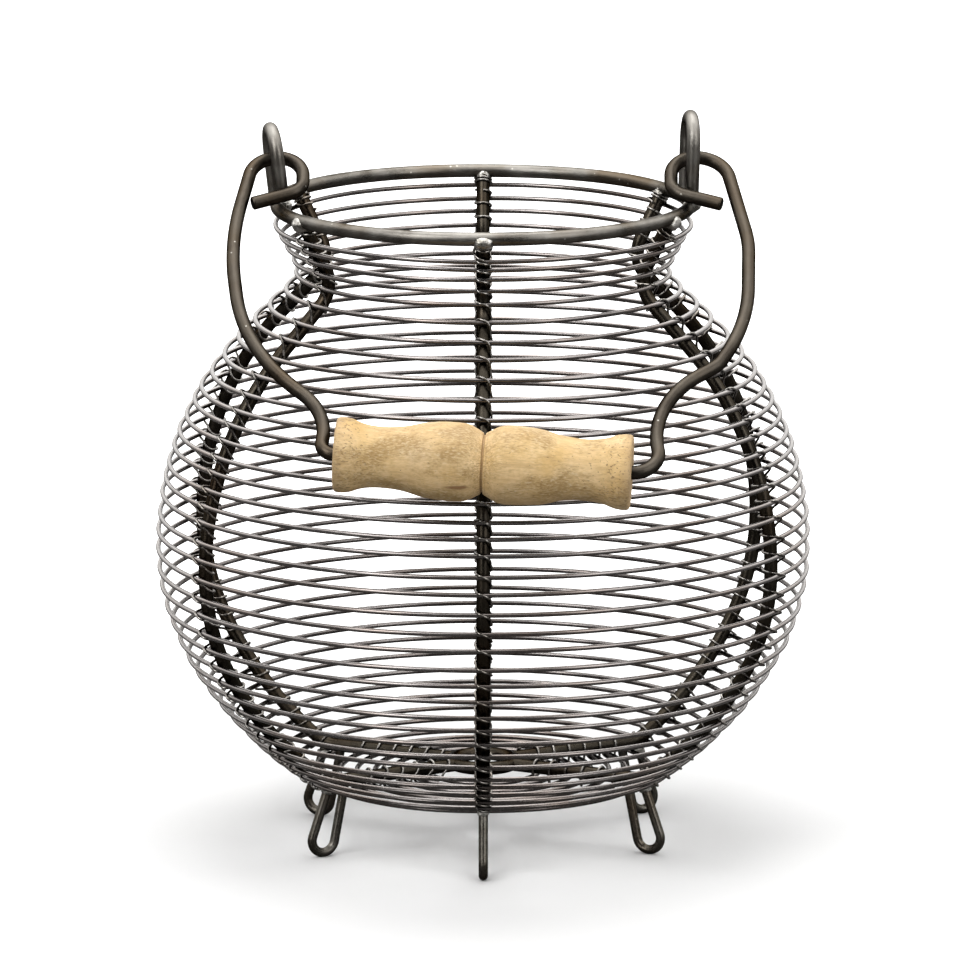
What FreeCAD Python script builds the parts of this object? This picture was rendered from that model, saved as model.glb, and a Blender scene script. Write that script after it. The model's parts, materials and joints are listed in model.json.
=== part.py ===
import FreeCAD, Part
import math
import os

# Egg collection basket: six heavy wire ribs under a heavy ring, thin hoops lashed round them,
# a loose wire bail with a turned wooden grip, and six wire loops for feet.
# Millimetres. +Z is up, the bail hangs over the front (-Y) side, the feet stand on z = 0.

doc = FreeCAD.newDocument("egg_basket")

sheet = doc.addObject("Spreadsheet::Sheet", "Sizes")
SIZES = [
    ("heavy_wire", 3.8),
    ("hoop_wire", 1.4),
    ("lash_wire", 0.7),
    ("foot_wire", 2.6),
    ("slack", 0.12),
    ("rim_radius", 57.7),
    ("rim_height", 181.5),
    ("rib_top_radius", 57.5),
    ("neck_lean", 27.8),
    ("neck_run", 15.0),
    ("neck_bend", 9.0),
    ("shoulder_run", 16.4),
    ("shoulder_bend", 85.5),
    ("belly_bend", 62.0),
    ("under_bend", 98.3),
    ("heel_bend", 10.7),
    ("centre_ring_radius", 9.0),
    ("bead_radius", 2.4),
    ("ear_radius", 7.5),
    ("ear_left_yaw", 10.0),
    ("ear_left_lean", 6.5),
    ("ear_left_centre", 57.0),
    ("ear_left_height", 195.4),
    ("ear_right_yaw", 6.0),
    ("ear_right_lean", 1.5),
    ("ear_right_centre", 57.3),
    ("ear_right_height", 198.7),
    ("pivot_height", 195.2),
    ("bail_droop", 36.0),
    ("grip_down", 116.7),
    ("grip_slope", 4.8),
    ("grip_length", 80.2),
    ("grip_end_radius", 10.3),
    ("grip_waist_radius", 8.35),
    ("grip_bulge_radius", 10.8),
    ("grip_groove_radius", 7.6),
    ("bore_radius", 1.98),
]
for row, (alias, value) in enumerate(SIZES, start=1):
    sheet.set("A%d" % row, alias)
    sheet.set("B%d" % row, str(value))
    sheet.setAlias("B%d" % row, alias)
doc.recompute()


def size(alias):
    return float(sheet.get(alias))


def turned(point, degrees):
    """A point of the plane turned about the plane's origin."""
    angle = math.radians(degrees)
    x, y = point
    return (x * math.cos(angle) - y * math.sin(angle), x * math.sin(angle) + y * math.cos(angle))


# Each bent wire is a bending order: straight runs, and bends given by radius and angle.
# A positive angle turns to the left of the way the wire is running.

class Bend:
    """A bending order walked from one end, read at a distance to the left of the wire."""

    def __init__(self, start, heading, moves, offset=0.0):
        self.parts = []
        side = turned((1.0, 0.0), heading + 90.0)
        point = (start[0] + offset * side[0], start[1] + offset * side[1])
        for radius, amount in moves:
            if radius is None:
                length = amount
                along = turned((1.0, 0.0), heading)
                end = (point[0] + length * along[0], point[1] + length * along[1])
                new_heading = heading
            else:
                sign = 1.0 if amount > 0 else -1.0
                real = radius - sign * offset
                length = real * math.radians(abs(amount))
                side = turned((1.0, 0.0), heading + 90.0)
                hub = (point[0] + sign * real * side[0], point[1] + sign * real * side[1])
                arm = turned((point[0] - hub[0], point[1] - hub[1]), amount)
                end = (hub[0] + arm[0], hub[1] + arm[1])
                new_heading = heading + amount
            self.parts.append((point, heading, radius, amount, length, offset))
            point = end
            heading = new_heading
        self.end = point
        self.length = sum(part[4] for part in self.parts)

    def at(self, distance):
        """The point and heading at a distance along this line."""
        last = len(self.parts) - 1
        for index, (point, heading, radius, amount, length, offset) in enumerate(self.parts):
            if distance <= length or index == last:
                break
            distance -= length
        if radius is None:
            along = turned((1.0, 0.0), heading)
            return (point[0] + distance * along[0], point[1] + distance * along[1]), heading
        sign = 1.0 if amount > 0 else -1.0
        real = radius - sign * offset
        side = turned((1.0, 0.0), heading + 90.0)
        hub = (point[0] + sign * real * side[0], point[1] + sign * real * side[1])
        swing = sign * math.degrees(distance / real)
        arm = turned((point[0] - hub[0], point[1] - hub[1]), swing)
        return (hub[0] + arm[0], hub[1] + arm[1]), heading + swing

    def edges(self, place):
        """Straight and round edges, each plane point put in space by place(point)."""
        found = []
        travelled = 0.0
        for point, heading, radius, amount, length, offset in self.parts:
            first = place(self.at(travelled + 1e-9)[0])
            middle = place(self.at(travelled + length / 2)[0])
            travelled += length
            final = place(self.at(travelled - 1e-9)[0])
            if radius is None:
                found.append(Part.makeLine(first, final))
            else:
                found.append(Part.Arc(first, middle, final).toShape())
        return found


def rounded_edges(corners, place):
    """Straight edges between corners, each corner (x, y, radius) rounded by an arc."""
    found = []
    here = corners[0][:2]
    for before, corner, after in zip(corners, corners[1:], corners[2:]):
        x, y, radius = corner
        back = FreeCAD.Vector(before[0] - x, before[1] - y, 0).normalize()
        ahead = FreeCAD.Vector(after[0] - x, after[1] - y, 0).normalize()
        half = back.getAngle(ahead) / 2
        reach = radius / math.tan(half)
        middle = (back + ahead).normalize()
        depth = radius / math.sin(half) - radius
        start = (x + reach * back.x, y + reach * back.y)
        apex = (x + depth * middle.x, y + depth * middle.y)
        end = (x + reach * ahead.x, y + reach * ahead.y)
        found.append(Part.makeLine(place(here), place(start)))
        found.append(Part.Arc(place(start), place(apex), place(end)).toShape())
        here = end
    found.append(Part.makeLine(place(here), place(corners[-1][:2])))
    return found


def swept_wire(name, edges, thickness):
    """Round wire swept along edges; thickness names the sheet's wire size."""
    path = doc.addObject("Part::Feature", name + "_path")
    path.Shape = Part.Wire(edges)
    first = edges[0]
    start = first.valueAt(first.FirstParameter)
    along = first.tangentAt(first.FirstParameter)
    section = doc.addObject("Part::Circle", name + "_section")
    section.setExpression("Radius", "Sizes.%s / 2" % thickness)
    section.Placement = FreeCAD.Placement(start, FreeCAD.Rotation(FreeCAD.Vector(0, 0, 1), along))
    wire = doc.addObject("Part::Sweep", name)
    wire.Sections = [section]
    wire.Spine = (path, ["Edge%d" % (i + 1) for i in range(len(edges))])
    wire.Solid = True
    wire.Frenet = False
    wire.Transition = "Round corner"
    return wire


def torus(name, radius, thickness, height, tilt=0.0, shift=0.0):
    """A closed ring of round wire, lying level or tipped about X."""
    ring = doc.addObject("Part::Torus", name)
    ring.Radius1 = radius
    ring.setExpression("Radius2", "Sizes.%s / 2" % thickness)
    ring.Placement = FreeCAD.Placement(
        FreeCAD.Vector(0, shift, height), FreeCAD.Rotation(FreeCAD.Vector(1, 0, 0), tilt))
    return ring


def bead(name, point, radius="bead_radius"):
    """A round weld bead."""
    ball = doc.addObject("Part::Sphere", name)
    ball.setExpression("Radius", "Sizes.%s" % radius)
    ball.Placement = FreeCAD.Placement(point, FreeCAD.Rotation())
    return ball


def joined(name, pieces):
    fused = doc.addObject("Part::MultiFuse", name)
    fused.Shapes = pieces
    return fused


made = []


def keep(node, feature):
    feature.Label = node
    made.append((node, feature))


# ---- where the ribs stand, in degrees round from +X ----
RIBS = [
    ("front", -90.0),
    ("front_right", -26.0),
    ("back_right", 28.0),
    ("back", 90.0),
    ("back_left", 155.0),
    ("front_left", 210.0),
]

# ---- the rib: from the rim in to the neck, out over the shoulder, round and in to the centre ----
heavy = size("heavy_wire") / 2
thin = size("hoop_wire") / 2
lash = size("lash_wire") / 2
slack = size("slack")
hoop_offset = heavy + thin + slack
neck_turn = 45.0 + size("neck_lean")
RIB_START = (size("rib_top_radius"), size("rim_height") - 0.5)
RIB_HEADING = 270.0 - size("neck_lean")


def rib_moves(flat_run):
    return [
        (None, size("neck_run")),
        (size("neck_bend"), neck_turn),
        (None, size("shoulder_run")),
        (size("shoulder_bend"), -45.0),
        (size("belly_bend"), -30.0),
        (size("under_bend"), -24.4),
        (size("heel_bend"), -35.6),
        (None, flat_run),
    ]


to_flat = Bend(RIB_START, RIB_HEADING, rib_moves(0.001))
FLAT_RUN = to_flat.end[0] - size("centre_ring_radius") - 0.4
BASE_HEIGHT = to_flat.end[1]
rib_line = Bend(RIB_START, RIB_HEADING, rib_moves(FLAT_RUN))
hoop_line = Bend(RIB_START, RIB_HEADING, rib_moves(FLAT_RUN), hoop_offset)


def round_rib(azimuth):
    """Puts a rib-plane point (radius, height) in space at a rib's azimuth."""
    across = turned((1.0, 0.0), azimuth)

    def place(point):
        return FreeCAD.Vector(point[0] * across[0], point[0] * across[1], point[1])
    return place


def off_rib(distance, outward):
    """Radius, height and heading beside the rib, at a distance along the hoops' line."""
    (radius, height), heading = hoop_line.at(distance)
    side = turned((1.0, 0.0), heading + 90.0)
    step = outward - hoop_offset
    return radius + step * side[0], height + step * side[1], heading


def make_rib(name, azimuth):
    place = round_rib(azimuth)
    bar = swept_wire("bar_" + name, rib_line.edges(place), "heavy_wire")
    top = off_rib(0.4, 0.3)
    ball = bead("bead_" + name, place((top[0], top[1])))
    keep("rib_" + name, joined("rib_" + name, [bar, ball]))


# ---- hoops: spacing along the hoops' line, close at the neck and opening over the shoulder ----
ROWS = [(2, 3.5), (2, 4.1), (1, 5.5), (5, 6.3), (8, 4.7), (14, 5.3), (4, 4.5), (1, 6.2), (1, 7.2), (5, 5.0)]
stations = [4.0]
for count, gap in ROWS:
    for _ in range(count):
        stations.append(stations[-1] + gap)
# hand spacing: the free hoops wander a little from even
for k in range(6, 36):
    stations[k] += 0.25 * math.sin(2.4 * k)


def hoop_tilt(k):
    """The top hoops dip at the front, each half as much as the one above."""
    return 1.0 * 0.5 ** k if k < 4 else 0.0


def hoop_drop(k, azimuth):
    """How far a tilted hoop sits below its mean height, measured along the rib."""
    radius = hoop_line.at(stations[k])[0][0]
    rise = radius * math.sin(math.radians(hoop_tilt(k))) * math.sin(math.radians(azimuth))
    return -rise / math.cos(math.radians(size("neck_lean")))


def make_hoop(name, k):
    (radius, height), heading = hoop_line.at(stations[k])
    tilt = hoop_tilt(k)
    shift = radius * math.sin(math.radians(tilt)) * math.tan(math.radians(size("neck_lean")))
    return torus(name, radius, "hoop_wire", height, tilt, shift)


def group(name, members):
    gathered = doc.addObject("Part::Compound", name)
    gathered.Links = members
    return gathered


# ---- lashing: one turn for each hoop, arching over the hoop on the rib's outer side ----
def lash_radius(turn):
    """Distance of the lashing from the rib's centre at an angle round it (0 is outward)."""
    low = heavy + lash + slack
    high = heavy + 2 * thin + lash + 0.65
    away = abs((turn + 180.0) % 360.0 - 180.0)
    fall = min(max((away - 36.0) / 42.0, 0.0), 1.0)
    ease = fall * fall * (3 - 2 * fall)
    return high + (low - high) * ease


def lash_point(azimuth, crossings, turns):
    """Where the lashing is after some turns; whole turns fall on the crossings."""
    across = turned((1.0, 0.0), azimuth)
    index = min(max(int(math.floor(turns)), 0), len(crossings) - 2)
    gap = crossings[index + 1] - crossings[index]
    along = crossings[index] + gap * (turns - index)
    # closer hoops are crossed more steeply
    steepness = 1.3 + 0.45 * max(5.0 - gap, 0.0)
    distance = along + gap * steepness * math.sin(2 * math.pi * turns) / (2 * math.pi)
    reach = lash_radius(360.0 * turns)
    outward = reach * math.cos(2 * math.pi * turns)
    sideways = reach * math.sin(2 * math.pi * turns)
    radius, height, heading = off_rib(distance, outward)
    return FreeCAD.Vector(
        radius * across[0] - sideways * across[1],
        radius * across[1] + sideways * across[0],
        height)


def arc_from(start, along, end):
    """The round edge that leaves start in a direction and reaches end."""
    chord = end - start
    half_turn = along.getAngle(chord)
    bulge_side = along - chord * (along.dot(chord) / chord.dot(chord))
    bulge_side.normalize()
    rise = chord.Length / 2 * math.tan(half_turn / 2)
    middle = (start + end) * 0.5 + bulge_side * rise
    return Part.Arc(start, middle, end).toShape()


def two_arcs(start, along, end, along_end):
    """Two round edges meeting smoothly between two points with given directions."""
    span = end - start
    both = along + along_end
    square = 2 * (1 - along.dot(along_end))
    reach = (math.sqrt(span.dot(both) ** 2 + square * span.dot(span)) - span.dot(both)) / square
    meet = (start + along * reach + end - along_end * reach) * 0.5
    crossing = (end - along_end * reach) - (start + along * reach)
    return [arc_from(start, along, meet), arc_from(meet, crossing.normalize(), end)]


def lash_run(azimuth, crossings):
    """One run of lashing past the given crossings, half a turn over at each end."""
    bends_per_turn = 8
    points = []
    headings = []
    for i in range(len(crossings) * bends_per_turn + 1):
        turns = i / bends_per_turn - 0.5
        points.append(lash_point(azimuth, crossings, turns))
        step = lash_point(azimuth, crossings, turns + 0.01) - lash_point(azimuth, crossings, turns - 0.01)
        headings.append(step.normalize())
    edges = []
    for i in range(len(points) - 1):
        edges += two_arcs(points[i], headings[i], points[i + 1], headings[i + 1])
    section = Part.Wire(Part.Circle(points[0], headings[0], lash).toShape())
    return Part.Wire(edges).makePipeShell([section], True, True)


def make_lashing(name, azimuth):
    outer = [stations[k] + hoop_drop(k, azimuth) for k in range(37)]
    # at the back the first hoop is tucked up under the rim, clear of the lashing
    outer = [distance for distance in outer if distance > 3.6]
    inner = stations[38:]
    runs = [lash_run(azimuth, outer), lash_run(azimuth, inner)]
    feature = doc.addObject("Part::Feature", "lashing_" + name)
    feature.Shape = Part.makeCompound(runs)
    keep("lashing_" + name, feature)


# ---- feet: a teardrop loop of lighter wire under each rib, worn flat where it stands ----
def make_foot(name, azimuth):
    start_radius = 50.0
    start_heading = 290.1
    way_down = (None, 15.2)
    round_bottom = (3.6, -188.3)
    way_up = (None, 16.7)
    line = Bend((start_radius, BASE_HEIGHT - 1.0), start_heading, [way_down, round_bottom, way_up])
    loop = swept_wire("loop_" + name, line.edges(round_rib(azimuth)), "foot_wire")
    # the loop dips a little below z = 0; the ground block takes that off
    side = 30
    depth = 10
    ground = doc.addObject("Part::Box", "ground_" + name)
    ground.Length = side
    ground.Width = side
    ground.Height = depth
    middle = round_rib(azimuth)((52.0, 0.0))
    corner = FreeCAD.Vector(-side / 2, -side / 2, -depth)
    ground.Placement = FreeCAD.Placement(middle + corner, FreeCAD.Rotation())
    foot = doc.addObject("Part::Cut", "foot_" + name)
    foot.Base = loop
    foot.Tool = ground
    keep("foot_" + name, foot)


# ---- ears: wire staples on the rim, standing a little askew ----
def make_ear(name, side):
    centre = FreeCAD.Vector(side * size("ear_%s_centre" % name), 0, 0)
    across = turned((0.0, 1.0), size("ear_%s_yaw" % name))
    crown = size("ear_%s_height" % name)
    half = size("ear_radius")
    foot_level = size("rim_height") + 0.6
    lean = math.radians(size("ear_%s_lean" % name))
    outward = turned((side * math.sin(lean), 0.0), size("ear_%s_yaw" % name))

    def place(point):
        along, height = point
        rise = height - foot_level
        return centre + FreeCAD.Vector(
            along * across[0] + rise * outward[0],
            along * across[1] + rise * outward[1],
            foot_level + rise * math.cos(lean))
    lower = place((-half, foot_level))
    upper = place((-half, crown))
    top = place((0.0, crown + half))
    far_upper = place((half, crown))
    far_lower = place((half, foot_level))
    edges = [
        Part.makeLine(lower, upper),
        Part.Arc(upper, top, far_upper).toShape(),
        Part.makeLine(far_upper, far_lower),
    ]
    staple = swept_wire("staple_" + name, edges, "heavy_wire")
    beads = [bead("bead_%s_%d" % (name, i), place((reach, size("rim_height") + 0.9)))
             for i, reach in enumerate((-half, half))]
    keep("ear_" + name, joined("ear_" + name, [staple] + beads))


# ---- bail: one wire bent flat, hooked at both ends, hanging over the front ----
def grip_line(across):
    """How far down the bail the grip's axis is, at a place along the pivot."""
    return size("grip_down") + across * math.tan(math.radians(size("grip_slope")))


BAIL = [
    (-64.2, 18.8, 0), (-50.2, 13.6, 5.0), (-50.2, 0.0, 7.0), (-64.0, 1.8, 8.0),
    (-70.1, 34.0, 100.0), (-65.3, 75.6, 60.0), (-42.0, 97.9, 20.0),
    (-44.1, grip_line(-44.1), 3.5),
    (48.3, grip_line(48.3), 7.0),
    (44.8, 94.5, 29.0), (63.8, 80.6, 9.3), (72.4, 65.9, 58.0), (73.4, 33.7, 42.0),
    (67.2, 1.6, 9.6), (52.3, 0.0, 7.0), (52.3, 14.2, 5.0), (66.3, 19.1, 0),
]
droop = math.radians(size("bail_droop"))


def in_bail(point):
    """Puts a point (along the pivot, down the bail) in space with the bail at rest."""
    across, down = point
    return FreeCAD.Vector(across, -down * math.cos(droop), size("pivot_height") - down * math.sin(droop))


keep("bail_wire", swept_wire("bail_wire", rounded_edges(BAIL, in_bail), "heavy_wire"))

# ---- grip: turned wood, two mirrored halves meeting at a sharp groove ----
grip = doc.addObject("PartDesign::Body", "wooden_grip")
profile = grip.newObject("Sketcher::SketchObject", "grip_profile")
xz_plane = [item for item in grip.Origin.OriginFeatures if item.Role == "XZ_Plane"][0]
profile.AttachmentSupport = [(xz_plane, "")]
profile.MapMode = "FlatFace"
half_length = size("grip_length") / 2
end_radius = size("grip_end_radius")
waist = size("grip_waist_radius")
bulge = size("grip_bulge_radius")
groove = size("grip_groove_radius")
bore = size("bore_radius")


def plane(x, y):
    return FreeCAD.Vector(x, y, 0)


def half_outline(side):
    """Outer line of one half of the grip, from the groove to the rounded end."""
    places = [
        (0.35, groove),
        (1.6, groove + 1.4),
        (4.5, bulge - 0.3),
        (9.6, bulge),
        (16.0, bulge - 0.65),
        (21.0, waist + 0.6),
        (27.5, waist),
        (32.3, waist + 0.45),
        (36.0, end_radius - 0.2),
        (half_length - lip, end_radius),
    ]
    curve = Part.BSplineCurve()
    curve.interpolate([plane(side * distance, radius) for distance, radius in places])
    return curve


lip = 1.2
right = half_outline(1)
left = half_outline(-1)
profile.addGeometry(Part.LineSegment(plane(-half_length, bore), plane(half_length, bore)))
profile.addGeometry(Part.LineSegment(plane(half_length, bore), plane(half_length, end_radius - lip)))
profile.addGeometry(Part.LineSegment(
    plane(half_length, end_radius - lip), plane(half_length - lip, end_radius)))
profile.addGeometry(right)
profile.addGeometry(Part.LineSegment(plane(0.35, groove), plane(-0.35, groove)))
profile.addGeometry(left)
profile.addGeometry(Part.LineSegment(
    plane(-half_length + lip, end_radius), plane(-half_length, end_radius - lip)))
profile.addGeometry(Part.LineSegment(plane(-half_length, end_radius - lip), plane(-half_length, bore)))
turning = grip.newObject("PartDesign::Revolution", "grip_turning")
turning.Profile = profile
turning.ReferenceAxis = (profile, ["H_Axis"])
turning.Angle = 360
grip_middle = in_bail((0.0, grip_line(0.0)))
along_grip = in_bail((half_length, grip_line(half_length))) - grip_middle
grip.Placement = FreeCAD.Placement(
    grip_middle, FreeCAD.Rotation(FreeCAD.Vector(1, 0, 0), along_grip))
keep("wooden_grip", grip)

# ---- the rest of the basket ----
rim = torus("rim_ring", size("rim_radius"), "heavy_wire", size("rim_height"))
rim.setExpression("Radius1", "Sizes.rim_radius")
keep("rim_ring", rim)
make_ear("left", -1)
make_ear("right", 1)
for rib_name, rib_azimuth in RIBS:
    make_rib(rib_name, rib_azimuth)
    make_lashing(rib_name, rib_azimuth)
    make_foot(rib_name, rib_azimuth)
keep("gathered_hoops", group("gathered_hoops", [make_hoop("gathered_%d" % k, k) for k in range(3)]))
for k in range(3, 35):
    keep("hoop_%02d" % (k + 1), make_hoop("hoop_%02d" % (k + 1), k))
keep("base_rings", group("base_rings", [make_hoop("base_%d" % k, k) for k in range(35, len(stations))]))
centre_ring = torus("centre_ring", size("centre_ring_radius"), "heavy_wire", BASE_HEIGHT)
centre_ring.setExpression("Radius1", "Sizes.centre_ring_radius")
keep("centre_ring", centre_ring)

doc.recompute()

for item in doc.Objects:
    if "Invalid" in item.State or "Error" in item.State:
        raise RuntimeError("%s did not build" % item.Name)
os.makedirs("parts", exist_ok=True)
for node, feature in made:
    shape = feature.Shape
    if shape.isNull() or not shape.isValid():
        raise RuntimeError("%s has a bad shape" % node)
    shape.exportStep("parts/%s.step" % node)
    print(node, len(shape.Solids), "solids", round(shape.Volume, 2), "mm3")
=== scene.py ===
import json
import math
import random

import bmesh
import bpy
import numpy as np
from mathutils import Matrix, Vector, noise


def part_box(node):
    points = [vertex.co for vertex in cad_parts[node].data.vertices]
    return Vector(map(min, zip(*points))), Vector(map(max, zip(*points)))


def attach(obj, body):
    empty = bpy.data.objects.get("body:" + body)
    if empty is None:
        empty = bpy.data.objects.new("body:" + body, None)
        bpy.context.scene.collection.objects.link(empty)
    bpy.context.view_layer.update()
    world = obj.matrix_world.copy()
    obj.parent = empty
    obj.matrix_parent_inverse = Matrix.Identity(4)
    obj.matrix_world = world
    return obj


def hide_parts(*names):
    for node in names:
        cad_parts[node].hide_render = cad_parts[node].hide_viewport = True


# The looks of a wire egg basket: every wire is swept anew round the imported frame, a little
# uneven as hand work is, with worn steel and turned wood made from procedural materials.
# Lengths are millimetres in the frame's axes until a mesh is made.

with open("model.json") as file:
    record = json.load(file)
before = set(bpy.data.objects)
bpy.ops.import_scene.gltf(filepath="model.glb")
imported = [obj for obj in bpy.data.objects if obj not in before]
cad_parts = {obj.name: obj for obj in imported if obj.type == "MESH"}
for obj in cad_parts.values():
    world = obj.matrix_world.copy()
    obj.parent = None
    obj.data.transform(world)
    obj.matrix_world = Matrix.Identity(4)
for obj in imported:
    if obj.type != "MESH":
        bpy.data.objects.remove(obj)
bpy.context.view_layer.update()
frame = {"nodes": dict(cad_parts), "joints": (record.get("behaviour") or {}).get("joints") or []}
MM = 0.001

# ---------------------------------------------------------------- places read from the frame


def box_mm(node):
    """Lowest and highest corners of a CAD node, in millimetres."""
    low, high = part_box(node)
    return np.array(low) / MM, np.array(high) / MM


def joint(name):
    """A joint's place in millimetres, and its axis."""
    found = [j for j in frame["joints"] if j["name"] == name][0]
    return np.array(found["pos_m"]) / MM, np.array(found["axis"], float)


rim_low, rim_high = box_mm("rim_ring")
HEAVY = (rim_high[2] - rim_low[2]) / 2
RIM_HEIGHT = (rim_high[2] + rim_low[2]) / 2
RIM_RADIUS = (rim_high[0] - rim_low[0]) / 2 - HEAVY
level_low, level_high = box_mm("hoop_20")
THIN = (level_high[2] - level_low[2]) / 2
# radii of the binding wire and the feet, and the room left between rib and hoop
LASH = 0.35
FOOT = 1.3
SLACK = 0.12
PIVOT, _ = joint("bail_swing")
GRIP_MIDDLE, GRIP_AXIS = joint("grip_spin")
DROOP = math.atan2(PIVOT[2] - GRIP_MIDDLE[2], -GRIP_MIDDLE[1])
GRIP_DOWN = math.hypot(PIVOT[2] - GRIP_MIDDLE[2], GRIP_MIDDLE[1])
DOWN_BAIL = np.array((0.0, -math.cos(DROOP), -math.sin(DROOP)))
GRIP_RISE = float(GRIP_AXIS @ DOWN_BAIL) / GRIP_AXIS[0]

RIB_NAMES = ["front", "front_right", "back_right", "back", "back_left", "front_left"]


def rib_azimuth(name):
    """The direction a rib faces, in degrees round the axis, taken from its foot."""
    low, high = box_mm("foot_" + name)
    middle = (low + high) / 2
    return math.degrees(math.atan2(middle[1], middle[0]))


AZIMUTH = {name: rib_azimuth(name) for name in RIB_NAMES}

# ---------------------------------------------------------------- bending orders


class Bend:
    """A wire's bending order: straight runs (None, length) and bends (radius, degrees)."""

    def __init__(self, start, heading, moves, offset=0.0):
        self.parts = []
        point = complex(*start) + offset * self.unit(heading + 90.0)
        for radius, amount in moves:
            if radius is None:
                length = amount
                self.parts.append((point, heading, None, 0.0, length))
                point = point + length * self.unit(heading)
                continue
            sign = 1.0 if amount > 0 else -1.0
            real = radius - sign * offset
            length = real * math.radians(abs(amount))
            self.parts.append((point, heading, real, sign, length))
            hub = point + sign * real * self.unit(heading + 90.0)
            point = hub + (point - hub) * self.unit(amount)
            heading = heading + amount
        self.end = point
        self.length = sum(part[4] for part in self.parts)

    @staticmethod
    def unit(degrees):
        angle = math.radians(degrees)
        return complex(math.cos(angle), math.sin(angle))

    def at(self, distance):
        """Point (radius + i height) and heading at a distance along the line."""
        for point, heading, real, sign, length in self.parts:
            if distance <= length:
                break
            distance -= length
        else:
            distance += length
        if real is None:
            return point + distance * self.unit(heading), heading
        turn = sign * math.degrees(distance / real)
        hub = point + sign * real * self.unit(heading + 90.0)
        return hub + (point - hub) * self.unit(turn), heading + turn

    def samples(self, step):
        """Points about one step apart along the whole line."""
        count = int(self.length / step) + 1
        return [self.at(self.length * i / count)[0] for i in range(count + 1)]


# the rib's bends from under the rim to the middle of the base, as the CAD has them
NECK_LEAN = 27.8
HOOP_OFFSET = HEAVY + THIN + SLACK
RIB_START = (57.5, RIM_HEIGHT - 0.5)
RIB_BENDS = [(None, 15.0), (9.0, 45.0 + NECK_LEAN), (None, 16.4), (85.5, -45.0), (62.0, -30.0),
             (98.3, -24.4), (10.7, -35.6)]
CENTRE_RING_RADIUS = 9.0
# the last run goes level to the centre ring and stops just short of its middle line
under = Bend(RIB_START, 270.0 - NECK_LEAN, RIB_BENDS)
BASE_HEIGHT = under.end.imag
RIB_MOVES = RIB_BENDS + [(None, under.end.real - CENTRE_RING_RADIUS - 0.4)]
rib_line = Bend(RIB_START, 270.0 - NECK_LEAN, RIB_MOVES)
hoop_line = Bend(RIB_START, 270.0 - NECK_LEAN, RIB_MOVES, HOOP_OFFSET)


def cos_sin(degrees):
    angle = math.radians(degrees)
    return math.cos(angle), math.sin(angle)


def on_azimuth(point, azimuth, sideways=0.0):
    """A rib-plane point (radius + i height) put in space."""
    cosine, sine = cos_sin(azimuth)
    return (point.real * cosine - sideways * sine, point.real * sine + sideways * cosine, point.imag)


def off_rib(distance, outward):
    """A point that far out from the rib's middle line, at a distance along it."""
    point, heading = hoop_line.at(distance)
    return point + (outward - HOOP_OFFSET) * Bend.unit(heading + 90.0)


# ---------------------------------------------------------------- rings read from the frame


def loose_parts(node):
    """The separate rings in a CAD node, each as an array of points in millimetres."""
    mesh = frame["nodes"][node].data
    count = len(mesh.vertices)
    points = np.empty(count * 3)
    mesh.vertices.foreach_get("co", points)
    points = points.reshape(-1, 3) / MM
    # glTF splits vertices at seams, so equal places are joined before walking the edges
    _, first, owner = np.unique(np.round(points, 3), axis=0, return_index=True, return_inverse=True)
    owner = owner.ravel()
    edges = np.empty(len(mesh.edges) * 2, int)
    mesh.edges.foreach_get("vertices", edges)
    edges = owner[edges.reshape(-1, 2)]
    group = np.arange(len(first))
    while True:
        lowest = np.minimum(group[edges[:, 0]], group[edges[:, 1]])
        before = group.copy()
        np.minimum.at(group, edges[:, 0], lowest)
        np.minimum.at(group, edges[:, 1], lowest)
        group = group[group]
        if (group == before).all():
            break
    return [points[first][group == g] for g in np.unique(group)]


def ring_of(points):
    """Centre, radius and forward dip (degrees) of a round ring of thin wire."""
    low, high = points.min(0), points.max(0)
    centre = (low + high) / 2
    radius = (high[0] - low[0]) / 2 - THIN
    dip = math.degrees(math.asin(max((high[2] - low[2]) / 2 - THIN, 0.0) / radius))
    return centre, radius, dip


FREE_HOOPS = ["hoop_%02d" % k for k in range(4, 36)]
gathered = [ring_of(p) for p in loose_parts("gathered_hoops")]
gathered.sort(key=lambda ring: -ring[0][2])
free = [ring_of(p) for name in FREE_HOOPS for p in loose_parts(name)]
base = [ring_of(p) for p in loose_parts("base_rings")]
base.sort(key=lambda ring: -ring[1])
rings = gathered + free + base
TRACK_STEP = 0.05
track = [hoop_line.at(i * TRACK_STEP)[0] for i in range(int(hoop_line.length / TRACK_STEP))]
track = np.array(track)


def station(ring):
    """How far along the rib a ring crosses it."""
    centre, radius, _ = ring
    nearest = np.argmin(abs(track - complex(radius, centre[2])))
    return nearest * TRACK_STEP


stations = [station(ring) for ring in rings]

# ---------------------------------------------------------------- swept wires


def ripple(t, seed, waves=4):
    """A smooth wander of about -1 to 1 that never repeats over a few turns of t."""
    chance = random.Random(seed)
    total = np.zeros_like(np.asarray(t, float))
    for wave in range(waves):
        rate = (wave + 1) * chance.uniform(0.8, 1.3)
        swing = np.sin(rate * np.asarray(t) + chance.uniform(0, 6.28))
        total += math.sin(1.0 + wave) * swing / (wave + 1)
    return total


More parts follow.
